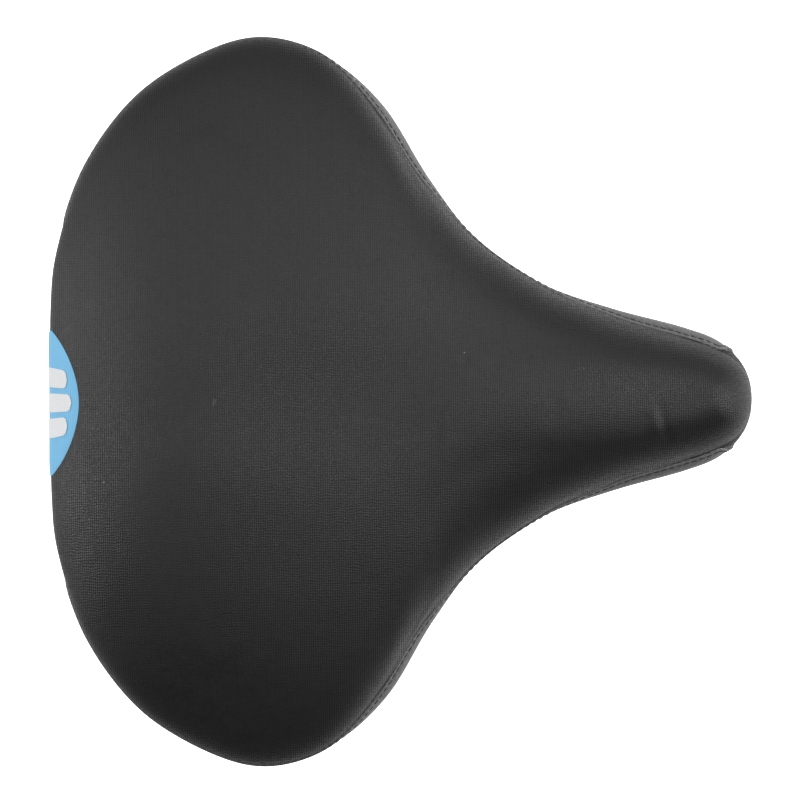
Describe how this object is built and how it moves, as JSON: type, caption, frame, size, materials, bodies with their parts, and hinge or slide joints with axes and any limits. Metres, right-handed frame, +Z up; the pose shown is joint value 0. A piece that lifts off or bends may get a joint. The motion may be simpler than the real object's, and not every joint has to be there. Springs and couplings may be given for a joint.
{
  "type": "sprung bicycle saddle",
  "caption": "Wide padded cruiser saddle with a knitted top, vinyl sides, coil springs at the rear, a bent wire rail and a bolted seatpost clamp.",
  "frame": {"origin": "on the seatpost's axis, level with the cross stud of the clamp", "axes": "+X towards the saddle's nose, +Y towards the rider's left, +Z up along the seatpost"},
  "size_m": [0.2678, 0.2776, 0.12],
  "materials": {
    "jersey": "matte",
    "vinyl": "satin",
    "blue_print": "satin",
    "foam": "matte",
    "polypropylene": "satin",
    "black_steel": "satin",
    "zinc": "satin"
  },
  "bodies": {
    "collar": {"seatpost_collar": "black_steel", "serrated_washer_left": "zinc", "serrated_washer_right": "zinc"},
    "rail_clamp": {"inner_cheek_left": "black_steel", "inner_cheek_right": "black_steel", "outer_cheek_left": "black_steel", "outer_cheek_right": "black_steel", "clamp_stud": "zinc", "clamp_washer_left": "zinc", "clamp_washer_right": "zinc", "clamp_nut_left": "zinc", "clamp_nut_right": "zinc"},
    "undercarriage": {"rail": "black_steel", "rear_bridge": "black_steel", "lower_spring_cup_left": "black_steel", "lower_spring_cup_right": "black_steel", "lower_spring_bolt_left": "zinc", "lower_spring_bolt_right": "zinc", "lower_spring_nut_left": "zinc", "lower_spring_nut_right": "zinc", "coil_spring_left": "black_steel", "coil_spring_right": "black_steel"},
    "seat": {"top_cover": "jersey", "side_panel_left": "vinyl", "side_panel_right": "vinyl", "rear_badge": "blue_print", "foam_pad": "foam", "base_shell": "polypropylene", "upper_bridge": "black_steel", "upper_spring_cup_left": "black_steel", "upper_spring_cup_right": "black_steel", "upper_spring_bolt_left": "zinc", "upper_spring_bolt_right": "zinc", "tee_nut_left": "zinc", "tee_nut_right": "zinc", "nose_bracket": "black_steel", "nose_bolt_rear": "zinc", "nose_bolt_front": "zinc", "nose_nut_plate": "zinc"}
  },
  "joints": [
    {"name": "clamp_tilt", "type": "hinge", "parent": "collar", "child": "rail_clamp", "pos_m": [-0.027, 0, 0], "axis": [0, 1, 0], "range_deg": [-20, 20]},
    {"name": "fore_aft_slide", "type": "slide", "parent": "rail_clamp", "child": "undercarriage", "axis": [1, 0, 0], "range_m": [-0.02, 0.02]},
    {"name": "suspension", "type": "hinge", "parent": "undercarriage", "child": "seat", "pos_m": [0.088, 0, 0.036], "axis": [0, -1, 0], "range_deg": [0, 4], "stiffness_Nm_per_rad": 1750, "deforming": ["coil_spring_left", "coil_spring_right"]}
  ]
}
